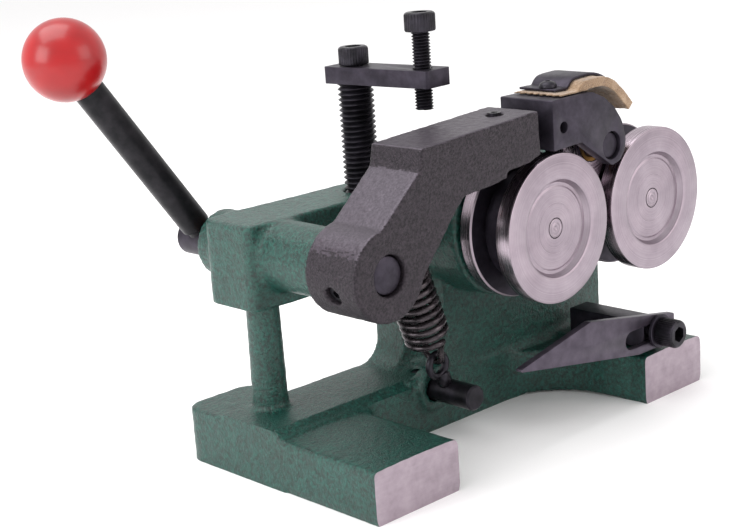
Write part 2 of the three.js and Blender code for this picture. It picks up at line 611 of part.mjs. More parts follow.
function stopSet() {
  const set = new THREE.Group();
  set.position.set(POST.x, POST.y, 0);
  const rise = POST.top + FIT;
  const root = BRIDGE.top - POST.depth + 0.5;
  const post = cut(turned([[0, root], [POST.radius, root],
    [POST.radius, POST.top - 0.8], [POST.radius - 0.8, POST.top], [0, POST.top]]),
  rodZ(M6.radius + FIT, POST.top - 14, POST.top + 2));
  const swing = new THREE.Group();
  swing.rotation.z = radians(STOP.sweep);
  const screw = piece('stop_adjusting_screw', capScrew(STOP.screwLength), BLACK_OXIDE, 0,
    -STOP.screw, STOP.screwTip);
  swing.add(piece('stop_bar', stopBar(), BLACK_OXIDE, 0, 0, rise), screw);
  const clampTop = rise + STOP.thick + FIT;
  set.add(piece('stop_post', post, BLACK_OXIDE), swing,
    piece('post_cap_screw', capScrew(M6.length), BLACK_OXIDE, 0, 0, clampTop - M6.length));
  return set;
}

function pointerPlate() {
  const plate = rounded([[65.4, 29.7, 0.5], [103, 37.2, 2], [149.6, 29, 1],
    [149.6, 18.8, 2.5], [129, 18.8, 3]]);
  const { z, slot: half, slotLeft, slotRight } = POINTER;
  const corner = half - 0.01;
  const slot = rounded([[slotLeft - half, z - half, corner], [slotRight + half, z - half, corner],
    [slotRight + half, z + half, corner], [slotLeft - half, z + half, corner]]);
  const back = POINTER.front + POINTER.thick;
  return cut(slabY(plate, POINTER.front, back), slabY(slot, POINTER.front - 2, back + 2, 6));
}

function pointerSet() {
  const set = new THREE.Group();
  const { left, right, front, rear, bottom, top } = SUPPORT;
  const washer = 1.4;
  const seat = POINTER.front - FIT;
  const bar = cut(box(left, right, front, rear, bottom, top),
    rodY(M6.radius + FIT, front - 2, front + 14, POINTER.x, POINTER.z),
    rodZ(SUPPORT.hole, bottom - 2, bottom + 7, (left + right) / 2, SUPPORT.holeFront),
    rodZ(SUPPORT.hole, bottom - 2, bottom + 7, (left + right) / 2, SUPPORT.holeRear));
  const screw = capScrew(M6.length, M6, 7).rotateX(Math.PI / 2);
  set.add(piece('pointer_support', bar, BLACK_OXIDE),
    piece('pointer_plate', pointerPlate(), BLACK_OXIDE),
    piece('pointer_washer', ring(M6.radius + FIT, 6, washer), BLACK_OXIDE, POINTER.x,
      seat - washer, POINTER.z),
    piece('pointer_screw', screw, BLACK_OXIDE, POINTER.x, seat - washer - FIT + M6.length,
      POINTER.z));
  return set;
}

// ---------------------------------------------------------------- assembly

const fixture = new THREE.Group();
fixture.position.set(-BASE.length / 2, -BASE.depth / 2, 0);

const bushShape = () => ring(SHAFT.radius + FIT, BUSH.outer, BUSH.length);
fixture.add(
  piece('frame_casting', frameCasting(), GREEN),
  piece('shaft_bush_front', bushShape(), BRONZE, SHAFT.x, SHAFT_BOSS.front, SHAFT.z),
  piece('shaft_bush_rear', bushShape(), BRONZE, SHAFT.x, SHAFT_BOSS.rear - BUSH.length,
    SHAFT.z),
  rollerSet('left', ROLLER.left, CRANK.thick - 0.2),
  rollerSet('right', ROLLER.right),
  piece('drive_belt', driveBelt(), RUBBER, ROLLER.left, PULLEY.front + PULLEY.width / 2,
    ROLLER.z),
  armSet(),
  nipSet(),
  springSet(),
  stopSet(),
  pointerSet(),
  crankSet());

export default fixture;
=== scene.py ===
# %% [markdown]
# # A roller grinding fixture, finished in Blender
# The fixture holds a round blank on two turned disc rollers while its end is ground.
# The CAD model gives every size and place. This lesson gives each piece the edges,
# casting skin, turning marks, threads, wire and leather that the CAD solids leave out.

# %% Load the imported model
import math

import bpy
from mathutils import Matrix, Vector


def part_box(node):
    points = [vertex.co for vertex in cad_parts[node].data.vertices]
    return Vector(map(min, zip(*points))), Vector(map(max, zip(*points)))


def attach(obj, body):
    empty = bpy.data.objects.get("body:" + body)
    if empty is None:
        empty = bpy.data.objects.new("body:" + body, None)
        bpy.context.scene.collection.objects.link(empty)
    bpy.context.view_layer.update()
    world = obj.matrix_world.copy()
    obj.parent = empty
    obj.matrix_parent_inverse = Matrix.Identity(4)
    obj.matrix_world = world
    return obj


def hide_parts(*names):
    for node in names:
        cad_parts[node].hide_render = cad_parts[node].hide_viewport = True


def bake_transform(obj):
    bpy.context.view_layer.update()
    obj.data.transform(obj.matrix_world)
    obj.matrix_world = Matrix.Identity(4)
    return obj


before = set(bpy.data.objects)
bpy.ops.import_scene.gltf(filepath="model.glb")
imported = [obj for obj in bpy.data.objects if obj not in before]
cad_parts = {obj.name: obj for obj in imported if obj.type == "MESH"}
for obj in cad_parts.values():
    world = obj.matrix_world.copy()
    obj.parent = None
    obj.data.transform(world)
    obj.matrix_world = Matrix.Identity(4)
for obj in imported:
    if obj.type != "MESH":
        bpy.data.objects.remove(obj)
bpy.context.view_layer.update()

MM = 0.001

# %% [markdown]
# ## Camera
# The camera stands at the left end, a little above the fixture, and is rolled by a few
# degrees. A long lens at half a metre keeps the feet nearly parallel.

# %% Place the camera
AZIMUTH, ELEVATION, ROLL = (math.radians(a) for a in (-42.533, 14.595, -3.91))
towards = Vector((-math.sin(AZIMUTH) * math.cos(ELEVATION),
                  math.cos(AZIMUTH) * math.cos(ELEVATION), -math.sin(ELEVATION)))
camera_data = bpy.data.cameras.new("studio_camera")
camera_data.sensor_width = 36
camera_data.lens = 75.32
camera = bpy.data.objects.new("studio_camera", camera_data)
bpy.context.scene.collection.objects.link(camera)
turn = towards.to_track_quat("-Z", "Y").to_matrix() @ Matrix.Rotation(ROLL, 3, "Z")
camera.matrix_world = Matrix.Translation((-0.36635, -0.36106, 0.19086)) @ turn.to_4x4()
bpy.context.scene.camera = camera
bpy.context.scene.view_settings.view_transform = "Standard"

# %% [markdown]
# ## Studio
# Cast iron and turned steel look like what surrounds them, so the studio is a pale floor,
# a white surround and three big soft lamps. Each lamp is a wide sheet, because a small one
# would draw a hard bright spot on the discs.

# %% Build the floor and the lamps
def only(obj):
    """Deselect everything, then select obj and make it the active object."""
    bpy.ops.object.select_all(action="DESELECT")
    obj.select_set(True)
    bpy.context.view_layer.objects.active = obj
    return obj


def hex_to_linear(code):
    """Turn a '#rrggbb' screen colour into the linear colour that shaders use."""
    channels = [int(code[i:i + 2], 16) / 255 for i in (1, 3, 5)]
    return (*(c / 12.92 if c <= 0.04045 else ((c + 0.055) / 1.055) ** 2.4
              for c in channels), 1.0)


def add_node(material, kind, inputs=None, stops=None, **settings):
    """Add one shader node. inputs sets or links its sockets, stops fills a colour ramp."""
    node = material.node_tree.nodes.new("ShaderNode" + kind)
    for name, value in settings.items():
        setattr(node, name, value)
    for name, value in (inputs or {}).items():
        if isinstance(value, bpy.types.NodeSocket):
            material.node_tree.links.new(value, node.inputs[name])
        else:
            node.inputs[name].default_value = value
    for index, (position, colour) in enumerate(stops or []):
        ramp = node.color_ramp.elements
        element = ramp[index] if index < 2 else ramp.new(position)
        element.position = position
        element.color = hex_to_linear(colour)
    return node


def new_material(name, **values):
    """Start a material. values are set on the Principled shader's own sockets."""
    material = bpy.data.materials.new(name)
    material.use_nodes = True
    shader = material.node_tree.nodes["Principled BSDF"]
    for socket, value in values.items():
        shader.inputs[socket.replace("_", " ")].default_value = value
    return material, shader


def link(material, output, shader, socket):
    """Join a node's output to one of the shader's sockets."""
    material.node_tree.links.new(output, shader.inputs[socket])


def add_lamp(name, size, watts, position, aim, colour):
    """Hang a square soft lamp at position, pointing at aim."""
    data = bpy.data.lights.new(name, "AREA")
    data.size = size
    data.energy = watts
    data.color = hex_to_linear(colour)[:3]
    lamp = bpy.data.objects.new(name, data)
    lamp.location = position
    direction = Vector(aim) - Vector(position)
    lamp.rotation_euler = direction.to_track_quat("-Z", "Y").to_euler()
    bpy.context.scene.collection.objects.link(lamp)


FLOOR_RADIUS = 8.0
bpy.ops.object.select_all(action="DESELECT")
bpy.ops.mesh.primitive_circle_add(vertices=96, radius=FLOOR_RADIUS, fill_type="NGON")
floor = bpy.context.active_object
floor.name = "studio_floor"
paper, paper_shader = new_material("matte white paper", Roughness=0.9)
paper_shader.inputs["Base Color"].default_value = hex_to_linear("#fbfbfb")
floor.data.materials.append(paper)

world = bpy.data.worlds.new("white_surround")
world.use_nodes = True
world.node_tree.nodes["Background"].inputs["Color"].default_value = hex_to_linear("#fbfafa")
world.node_tree.nodes["Background"].inputs["Strength"].default_value = 1.0
bpy.context.scene.world = world

MIDDLE = (0.0, 0.0, 0.06)
add_lamp("top_lamp", 0.9, 8, (-0.25, 0.25, 1.0), MIDDLE, "#ffffff")
add_lamp("front_lamp", 0.7, 3, (0.45, -1.0, 0.5), MIDDLE, "#fff6f4")
add_lamp("left_lamp", 0.6, 4.5, (-1.0, 0.15, 0.45), MIDDLE, "#ffffff")
print("Studio ready, floor", FLOOR_RADIUS, "m in radius")

# %% [markdown]
# ## Green enamel on sand-cast iron
# The base is poured in a sand mould, so its skin has a grain of about a millimetre,
# and then it is sprayed with enamel that pools in the hollows. Two noises make the skin:
# a coarse one for the sand and a fine one for the orange peel of the paint.

# %% Mix the enamel
def grain(material, millimetres, detail=3.0, stretch=(1, 1, 1)):
    """A noise whose lumps are about that many millimetres across on the piece."""
    place = add_node(material, "TexCoord")
    stretched = add_node(material, "Mapping",
                         {"Vector": place.outputs["Object"], "Scale": stretch})
    return add_node(material, "TexNoise",
                    {"Vector": stretched.outputs[0], "Scale": 1 / (millimetres * MM),
                     "Detail": detail, "Roughness": 0.6}).outputs[0]


def rough_skin(material, shader, layers):
    """Stack bumps. layers lists (height socket, depth in mm, strength)."""
    normal = None
    for height, depth, strength in layers:
        inputs = {"Height": height, "Distance": depth * MM, "Strength": strength}
        if normal:
            inputs["Normal"] = normal
        normal = add_node(material, "Bump", inputs).outputs[0]
    link(material, normal, shader, "Normal")


SAND = 1.1          # grain of the moulding sand, mm
ORANGE_PEEL = 0.5   # ripple of the sprayed enamel, mm

enamel, shader = new_material("satin green enamel on sand-cast iron", Roughness=0.4,
                              Coat_Weight=0.2, Coat_Roughness=0.25)
sand = grain(enamel, SAND)
peel = grain(enamel, ORANGE_PEEL, 2.0)
colour = add_node(enamel, "ValToRGB", {"Fac": sand},
                  [(0.34, "#02211c"), (0.7, "#15584c"), (0.5, "#0a3f37")])
drift = add_node(enamel, "ValToRGB", {"Fac": grain(enamel, 18, 2.0)},
                 [(0.3, "#dfe6e3"), (0.7, "#ffffff")])
mixed = add_node(enamel, "Mix", {0: 1.0, 6: colour.outputs[0], 7: drift.outputs[0]},
                 data_type="RGBA", blend_type="MULTIPLY")
link(enamel, mixed.outputs[2], shader, "Base Color")
gloss = add_node(enamel, "MapRange", {"Value": peel, "To Min": 0.3, "To Max": 0.55})
link(enamel, gloss.outputs[0], shader, "Roughness")
rough_skin(enamel, shader, [(sand, 0.45, 1.0), (peel, 0.3, 1.0)])
print("Enamel with sand grain of", SAND, "mm")

# %% [markdown]
# ## Ground cast iron
# The two front faces are ground bare on a surface grinder. Bare grey iron is a metal with a
# dull, slightly pinkish shine, and the wheel leaves fine lines along X, so the noise
# is drawn out along X and squeezed across it.

# %% Mix the ground iron
ground_iron, shader = new_material("surface-ground grey cast iron", Metallic=1.0,
                                   Roughness=0.5)
lines = grain(ground_iron, 0.8, 2.0, (0.06, 1, 1))
cloud = grain(ground_iron, 4, 4.0)
colour = add_node(ground_iron, "ValToRGB", {"Fac": cloud},
                  [(0.3, "#9c8f98"), (0.7, "#afa2ab")])
link(ground_iron, colour.outputs[0], shader, "Base Color")
gloss = add_node(ground_iron, "MapRange", {"Value": lines, "To Min": 0.36, "To Max": 0.62})
link(ground_iron, gloss.outputs[0], shader, "Roughness")
rough_skin(ground_iron, shader, [(lines, 0.03, 0.6), (grain(ground_iron, 0.9), 0.05, 0.4)])

# %% [markdown]
# ## Blackened cast iron
# The press arm is cast too, but it is only blackened, so the bare grain shows: dark pits
# with small bright high spots. Its top was milled before blackening and is smoother, and it
# is painted a little lighter as painted light from above. These are two materials that share one
# look.

# %% Mix the blackened irons
def blackened_iron(name, dark, light, depth, roughness):
    """Cast iron under a black finish; depth is how deep the grain is, in mm."""
    material, shader = new_material(name, Metallic=0.55, Roughness=roughness)
    pits = grain(material, 0.7, 4.0)
    colour = add_node(material, "ValToRGB", {"Fac": pits}, [(0.36, dark), (0.66, light)])
    link(material, colour.outputs[0], shader, "Base Color")
    gloss = add_node(material, "MapRange", {"Value": grain(material, 2.5), "To Min":
                                            roughness - 0.1, "To Max": roughness + 0.12})
    link(material, gloss.outputs[0], shader, "Roughness")
    rough_skin(material, shader, [(pits, depth, 0.9), (grain(material, 0.5), depth / 3, 0.7)])
    return material


rough_black_iron = blackened_iron("blackened sand-cast iron", "#1c181d", "#3c353c", 0.4, 0.5)
# The second black is painted lighter than the first: painted light on the arm's top faces.
top_lit_black_iron = blackened_iron("milled black iron, painted lighter on top", "#3f3941", "#544d56", 0.08, 0.42)
print("Made", rough_black_iron.name, "and", top_lit_black_iron.name)

# %% [markdown]
# ## Black oxide steel
# Screws, shaft, bracket and pointer are machined steel dipped in hot black oxide. It is a
# thin layer, so the metal's shine comes through it as a satin blue-black, a little lighter
# where it was handled.

# %% Mix the black oxide
def oxide(name, dark, light, roughness):
    """Satin black oxide over machined steel."""
    material, shader = new_material(name, Metallic=0.75, Roughness=roughness)
    cloud = grain(material, 5, 5.0)
    colour = add_node(material, "ValToRGB", {"Fac": cloud}, [(0.35, dark), (0.68, light)])
    link(material, colour.outputs[0], shader, "Base Color")
    gloss = add_node(material, "MapRange", {"Value": grain(material, 1.2), "To Min":
                                            roughness - 0.08, "To Max": roughness + 0.12})
    link(material, gloss.outputs[0], shader, "Roughness")
    rough_skin(material, shader, [(grain(material, 0.45), 0.04, 0.5)])
    return material


black_oxide = oxide("hot black oxide on milled steel", "#2c2831", "#403b46", 0.42)
screw_black = oxide("black oxide on alloy screw steel", "#1b1a1e", "#35323a", 0.34)
pointer_black = oxide("worn black oxide on ground plate", "#433d48", "#57505c", 0.36)
rod_black = oxide("black oxide on drawn bar", "#17171a", "#2a282c", 0.38)
wire_black = oxide("oiled black spring wire", "#2b272a", "#544d51", 0.24)

# %% [markdown]
# ## Turned steel
# A lathe leaves circles round the axis. Each turned piece below carries an attribute called
# lathe that grows outwards on a face and along a rim, so one noise on it draws the
# circles on both. The real ones are about a tenth of a millimetre apart, too fine to show
# here, so they are drawn three to six times as coarse. Turned metal also
# spreads its shine across the circles, which Anisotropic with a radial tangent gives.

# %% Mix the turned steels
def turned_metal(name, dark, light, roughness, spacing, anisotropic, axis="Y"):
    """Bare metal with circular marks that are spacing mm apart."""
    material, shader = new_material(name, Metallic=1.0, Roughness=roughness,
                                    Anisotropic=anisotropic)
    across = add_node(material, "Attribute", attribute_name="lathe")
    marks = add_node(material, "TexNoise",
                     {"W": across.outputs["Fac"], "Scale": 1 / (spacing * MM), "Detail": 4.0,
                      "Roughness": 0.7}, noise_dimensions="1D").outputs[0]
    cloud = grain(material, 9, 3.0)
    both = add_node(material, "Mix", {0: 0.4, 2: marks, 3: cloud})
    colour = add_node(material, "ValToRGB", {"Fac": both.outputs[0]},
                      [(0.3, dark), (0.7, light)])
    link(material, colour.outputs[0], shader, "Base Color")
    gloss = add_node(material, "MapRange", {"Value": marks, "To Min": roughness - 0.08,
                                            "To Max": roughness + 0.1})
    link(material, gloss.outputs[0], shader, "Roughness")
    tangent = add_node(material, "Tangent", direction_type="RADIAL", axis=axis)
    link(material, tangent.outputs[0], shader, "Tangent")
    rough_skin(material, shader, [(marks, 0.03, 0.6)])
    return material


disc_face = turned_metal("fine-turned steel face", "#877b85", "#b3a7b0", 0.34, 0.3, 0.8)
disc_rim = turned_metal("ground steel rim", "#8d808a", "#c4b7c0", 0.24, 0.6, 0.4)
bronze = turned_metal("sintered bronze", "#7b5a32", "#a9834c", 0.42, 0.3, 0.2)
bearing_steel = turned_metal("hardened bearing steel", "#9c9a9d", "#c9c7c9", 0.2, 0.3, 0.2)
print("Turned metals:", disc_face.name, disc_rim.name, bronze.name, bearing_steel.name)

# %% [markdown]
# ## Plastics, rubber and leather
# The ball is glossy moulded thermoset plastic, and the crank's knob the same in black with
# a duller skin. The belt is plain rubber. The flap is undyed leather: a fine pebbled
# grain on top, and brown fibres on its cut edges.

# %% Mix the plastics, the rubber and the leather
red_plastic, shader = new_material("glossy red moulded phenolic", Roughness=0.3,
                                   Coat_Weight=0.15, Coat_Roughness=0.15)
colour = add_node(red_plastic, "ValToRGB", {"Fac": grain(red_plastic, 12, 2.0)},
                  [(0.3, "#8f0006"), (0.7, "#a8060c")])
link(red_plastic, colour.outputs[0], shader, "Base Color")
rough_skin(red_plastic, shader, [(grain(red_plastic, 3, 1.0), 0.05, 0.15)])

black_plastic, shader = new_material("black moulded phenolic", Roughness=0.4)
colour = add_node(black_plastic, "ValToRGB", {"Fac": grain(black_plastic, 6)},
                  [(0.3, "#121213"), (0.7, "#1f1e20")])
link(black_plastic, colour.outputs[0], shader, "Base Color")
rough_skin(black_plastic, shader, [(grain(black_plastic, 0.8), 0.04, 0.4)])

rubber, shader = new_material("round black belt rubber", Roughness=0.75)
colour = add_node(rubber, "ValToRGB", {"Fac": grain(rubber, 2)},
                  [(0.3, "#131313"), (0.7, "#262524")])
link(rubber, colour.outputs[0], shader, "Base Color")
rough_skin(rubber, shader, [(grain(rubber, 0.6), 0.05, 0.5)])


def tanned(name, dark, middle, light, fibre, depth):
    """Undyed leather whose fibres or pebbles are fibre mm across."""
    material, shader = new_material(name, Roughness=0.85, Sheen_Weight=0.3,
                                    Sheen_Roughness=0.5)
    pebbles = grain(material, fibre, 5.0)
    mottle = grain(material, 5, 4.0)
    both = add_node(material, "Mix", {0: 0.5, 2: pebbles, 3: mottle})
    colour = add_node(material, "ValToRGB", {"Fac": both.outputs[0]},
                      [(0.34, dark), (0.66, light), (0.5, middle)])
    link(material, colour.outputs[0], shader, "Base Color")
    rough_skin(material, shader, [(mottle, 0.3, 0.5), (pebbles, depth, 0.9)])
    return material


leather = tanned("undyed vegetable-tanned leather", "#66503a", "#8d7358", "#ab917a", 0.8, 0.25)
leather_edge = tanned("cut leather edge", "#6b5240", "#927659", "#b39a80", 0.5, 0.4)
print("Soft finishes:", rubber.name, leather.name, leather_edge.name)

# %% [markdown]
# ## How a piece starts and ends
# Some pieces start as a copy of their CAD solid. Its triangles are loose, so they are merged,
# and flat areas are dissolved back to single faces before anything is bevelled. Every
# piece ends the same way: its place is applied to its mesh, flat and round areas are told
# apart by angle, it is put on its body, and the CAD node that it stands for is hidden.

# %% Helpers that start and end a piece
def box_centre(node):
    low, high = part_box(node)
    return (Vector(low) + Vector(high)) / 2


def apply_modifier(obj, kind, **settings):
    """Add a modifier, set it and apply it."""
    only(obj)
    modifier = obj.modifiers.new(kind.lower(), kind)
    for name, value in settings.items():
        setattr(modifier, name, value)
    bpy.ops.object.modifier_apply(modifier=modifier.name)


def cad_copy(node, name):
    """A merged copy of a CAD node's mesh, with its flat areas as single faces."""
    obj = bpy.data.objects.new(name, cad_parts[node].data.copy())
    obj.data.materials.clear()
    bpy.context.scene.collection.objects.link(obj)
    only(obj)
    bpy.ops.object.mode_set(mode="EDIT")
    bpy.ops.mesh.select_all(action="SELECT")
    bpy.ops.mesh.remove_doubles(threshold=0.001 * MM)
    bpy.ops.mesh.dissolve_limited(angle_limit=math.radians(0.5))
    bpy.ops.object.mode_set(mode="OBJECT")
    return obj


def select(obj, test, kind="FACE"):
    """In edit mode, select only the faces or vertices that pass the test."""
    bpy.ops.object.mode_set(mode="EDIT")
    bpy.ops.mesh.select_mode(type=kind)
    bpy.ops.mesh.select_all(action="DESELECT")
    bpy.ops.object.mode_set(mode="OBJECT")
    parts = obj.data.polygons if kind == "FACE" else obj.data.vertices
    for part in parts:
        part.select = test(part)
    bpy.ops.object.mode_set(mode="EDIT")


def paint(obj, material, test=None):
    """Give the whole piece a material, or only the faces that pass the test."""
    obj.data.materials.append(material)
    if test:
        slot = len(obj.data.materials) - 1
        for face in obj.data.polygons:
            if test(face):
                face.material_index = slot


def finish_piece(obj, body, slot, *nodes, sharp=35):
    """Apply the piece's place, shade it, put it on its body and hide the CAD nodes that it stands
    for; slot is not used.
    """
    only(obj)
    bpy.ops.object.transform_apply(location=True, rotation=True, scale=True)
    bpy.ops.object.shade_smooth_by_angle(angle=math.radians(sharp))
    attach(obj, body)
    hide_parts(*nodes)
    print(obj.name, "rides on", body, "with", len(obj.data.polygons), "faces")


# %% [markdown]
# ## Frame casting
# The base, bridge and roller housings are one sand casting. A casting has no sharp edge: the
# sand crumbles at its corners. Voxel remesh turns the CAD solid
# into an even skin, Smooth rounds every edge a little, and a noise moves the skin by
# a fraction of a millimetre. The front faces and the underside were ground afterwards, so
# they are first pulled out a little and then cut back flat, which leaves crisp edges.

# %% Cast and grind the frame
CAST_VOXEL = 1.0 * MM
GRIND_ALLOWANCE = 3 * MM
bottom_z = 0.0
foot_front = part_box("frame_casting")[0][1]

casting = cad_copy("frame_casting", "green_casting")
select(casting, lambda v: v.co.y < foot_front + 0.1 * MM, "VERT")
bpy.ops.transform.translate(value=(0, -GRIND_ALLOWANCE, 0))
select(casting, lambda v: v.co.z < 0.1 * MM, "VERT")
bpy.ops.transform.translate(value=(0, 0, -GRIND_ALLOWANCE))
bpy.ops.object.mode_set(mode="OBJECT")
apply_modifier(casting, "REMESH", mode="VOXEL", voxel_size=CAST_VOXEL)
apply_modifier(casting, "SMOOTH", factor=0.5, iterations=2)
print("Skin of", len(casting.data.polygons), "faces")

# %% [markdown]
# The skin is moved by a smooth noise, and then the two ground planes are cut.

# %% Roughen and grind
shaft_x, shaft_z = box_centre("arm_shaft").x, box_centre("shaft_bush_front").z
sand_lumps = bpy.data.textures.new("sand_lumps", "CLOUDS")
sand_lumps.noise_scale = 3.2 * MM
sand_lumps.noise_depth = 2
apply_modifier(casting, "DISPLACE", texture=sand_lumps, strength=0.3 * MM, mid_level=0.9,
               texture_coords="LOCAL")
for plane, normal in (((0, foot_front, 0), (0, -1, 0)), ((0, 0, bottom_z), (0, 0, -1))):
    only(casting)
    bpy.ops.object.mode_set(mode="EDIT")
    bpy.ops.mesh.select_all(action="SELECT")
    bpy.ops.mesh.bisect(plane_co=plane, plane_no=normal, use_fill=True, clear_outer=True)
    bpy.ops.object.mode_set(mode="OBJECT")
paint(casting, enamel)
paint(casting, ground_iron, lambda f: (f.normal.y < -0.99 and f.center.y < foot_front + 0.05 * MM)
      or (f.normal.z < -0.99 and f.center.z < 0.05 * MM))
finish_piece(casting, "frame", "green_enamel", "frame_casting", sharp=50)

# %% [markdown]
# ## Press arm
# The arm is a smaller casting with crisper edges, so its voxels are finer and it is smoothed
# less. Its top was milled, so those faces get the smoother black, which is painted lighter as
# painted light from above.

# %% Cast the arm
arm = cad_copy("press_arm", "black_arm")
apply_modifier(arm, "REMESH", mode="VOXEL", voxel_size=0.6 * MM)
apply_modifier(arm, "SMOOTH", factor=0.5, iterations=3)
arm_lumps = bpy.data.textures.new("arm_lumps", "CLOUDS")
arm_lumps.noise_scale = 1.6 * MM
arm_lumps.noise_depth = 2
apply_modifier(arm, "DISPLACE", texture=arm_lumps, strength=0.25 * MM, mid_level=0.8,
               texture_coords="LOCAL")
paint(arm, rough_black_iron)
# Upward faces above the shaft get the lighter black, a painted highlight from above.
paint(arm, top_lit_black_iron, lambda f: f.normal.z > 0.55 and f.center.z > shaft_z + 3 * MM)
finish_piece(arm, "arm", "black_iron", "press_arm", sharp=60)

# %% [markdown]
# ## Turning on a lathe
# Discs, spindles, shafts and screws are round about one axis. As on a lathe, half of the section
# is drawn as a chain of points and spun once round. The chain starts from one vertex and is
# extruded step by step, the spin's seam is merged and the normals are recalculated. The
# lathe attribute that the turned steels read is written before the piece is put in place.

# %% A lathe, and a way to place what it makes
def chain(points):
    """A new object that is one open chain of edges through the points, in metres."""
    bpy.ops.object.select_all(action="DESELECT")
    bpy.ops.mesh.primitive_plane_add(size=MM, location=points[0])
    obj = bpy.context.active_object
    bpy.ops.object.transform_apply(location=True)
    bpy.ops.object.mode_set(mode="EDIT")
    bpy.ops.mesh.select_all(action="SELECT")
    bpy.ops.mesh.merge(type="CENTER")
    for before, after in zip(points, points[1:]):
        step = Vector(after) - Vector(before)
        bpy.ops.mesh.extrude_region_move(TRANSFORM_OT_translate={"value": step})
    return obj


def turned(name, profile, steps=96):
    """Spin a profile of (radius, distance along the axis), in mm, round the Z axis."""
    obj = chain([(radius * MM, 0, height * MM) for radius, height in profile])
    obj.name = name
    bpy.ops.mesh.select_all(action="SELECT")
    bpy.ops.mesh.spin(steps=steps, angle=2 * math.pi, center=(0, 0, 0), axis=(0, 0, 1))
    bpy.ops.mesh.select_all(action="SELECT")
    bpy.ops.mesh.remove_doubles(threshold=0.002 * MM)
    bpy.ops.mesh.normals_make_consistent(inside=False)
    bpy.ops.object.mode_set(mode="OBJECT")
    lathe = obj.data.attributes.new("lathe", "FLOAT", "POINT")
    for vertex, value in zip(obj.data.vertices, lathe.data):
        value.value = math.hypot(vertex.co.x, vertex.co.y) + vertex.co.z
    return obj


def put(obj, place, along=(0, 1, 0)):
    """Move a piece made at the origin to its place, with its Z axis along a direction."""
    direction = Vector(along).to_track_quat("Z", "Y").to_matrix().to_4x4()
    obj.matrix_world = Matrix.Translation(place) @ direction
    return obj


# %% [markdown]
# ## Front discs
# Each front disc is a flat rim, a sloped step down and a shallow middle with a few fine
# tool circles, and the spindle shows as a small spot at its centre. One disc is turned,
# its rim gets the brighter ground finish, and it is copied for the other roller.

# %% Turn the discs
R = 25.0            # radius of a disc, mm
EDGE = 0.5          # chamfer on its edges, mm
RIM_DEPTH = 0.2     # how far below the rim a face's centre may lie and still be rim, mm
FRONT_THICK, REAR_THICK = 6.0, 5.0
SPOT = 3.5          # radius of the hole that shows the spindle's end, mm
SIDES = ("left", "right")


def on_rim(face):
    """Whether a face of a disc that still lies at the origin is part of its rim."""
    return math.hypot(face.center.x, face.center.y) > (R - RIM_DEPTH) * MM


def put_disc(obj, side, node, body, slot_name="turned_steel"):
    """Put a disc on its roller's axis, with its front face where the CAD has it."""
    middle = box_centre(f"{side}_{node}")
    put(obj, (middle.x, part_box(f"{side}_{node}")[0][1], middle.z))
    finish_piece(obj, body, slot_name, f"{side}_{node}", sharp=25)


def copy_of(obj, name):
    """A copy with a mesh of its own."""
    twin = obj.copy()
    twin.data = obj.data.copy()
    twin.name = name
    bpy.context.scene.collection.objects.link(twin)
    return twin


front_profile = [(SPOT, 1.75), (8.0, 1.75), (8.1, 1.68), (8.3, 1.68), (8.4, 1.75),
                 (13.6, 1.8), (14.2, 2.1), (15.2, 2.05), (16.3, 0.35), (16.9, 0.08),
                 (17.4, 0.0), (R - EDGE, 0.0), (R - 0.12, 0.15), (R, EDGE),
                 (R, FRONT_THICK - EDGE), (R - EDGE, FRONT_THICK), (SPOT, FRONT_THICK),
                 (SPOT, 1.75)]
front_disc = turned("front_disc", front_profile, 128)
paint(front_disc, disc_face)
paint(front_disc, disc_rim, on_rim)

rear_profile = [(6.3, 0.0), (R - EDGE, 0.0), (R, EDGE), (R, REAR_THICK - EDGE),
                (R - EDGE, REAR_THICK), (6.3, REAR_THICK), (6.3, 0.0)]
rear_disc = turned("rear_disc", rear_profile, 128)
paint(rear_disc, disc_face)
paint(rear_disc, disc_rim, on_rim)
# The two faces that look at each other across the gap are painted black, as painted shade in the
# narrow gap between the discs.
paint(front_disc, black_oxide, lambda f: f.normal.z > 0.9)
paint(rear_disc, black_oxide, lambda f: f.normal.z < -0.9)
for side in SIDES:
    for master, kind in ((front_disc, "front"), (rear_disc, "rear")):
        put_disc(copy_of(master, f"{side}_{kind}_roll"), side, f"{kind}_disc", f"{side}_roll")
bpy.data.objects.remove(front_disc)
bpy.data.objects.remove(rear_disc)

# %% [markdown]
# ## Spindles, spacers and pulleys
# The spindle's front end was faced and centre-drilled, which leaves a small cone and a ring
# in the spot. The spacer between the discs and the pulleys at the back are black.

# %% Turn the spindles, the spacers and the pulleys
spindle_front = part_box("left_spindle")[0][1]
for side in SIDES:
    length = (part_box(f"{side}_spindle")[1][1] - spindle_front) / MM + 1.5
    tail = ([(5.9, 84.5), (4.4, 85.5), (4.4, length - 0.4), (4.0, length)]
            if side == "left" else [(5.9, length - 1.0), (4.9, length)])
    spindle = turned(f"{side}_centre_spindle",
                     [(0, 2.3), (0.9, 1.6), (1.5, 1.55), (2.0, 1.75), (2.9, 1.55),
                      (3.2, 1.7), (3.2, 6.3), (5.9, 6.3), *tail, (0, length)], 64)
    paint(spindle, disc_face)
    middle = box_centre(f"{side}_spindle")
    put(spindle, (middle.x, spindle_front - 1.5 * MM, middle.z))
    finish_piece(spindle, f"{side}_roll", "turned_steel", f"{side}_spindle", sharp=25)

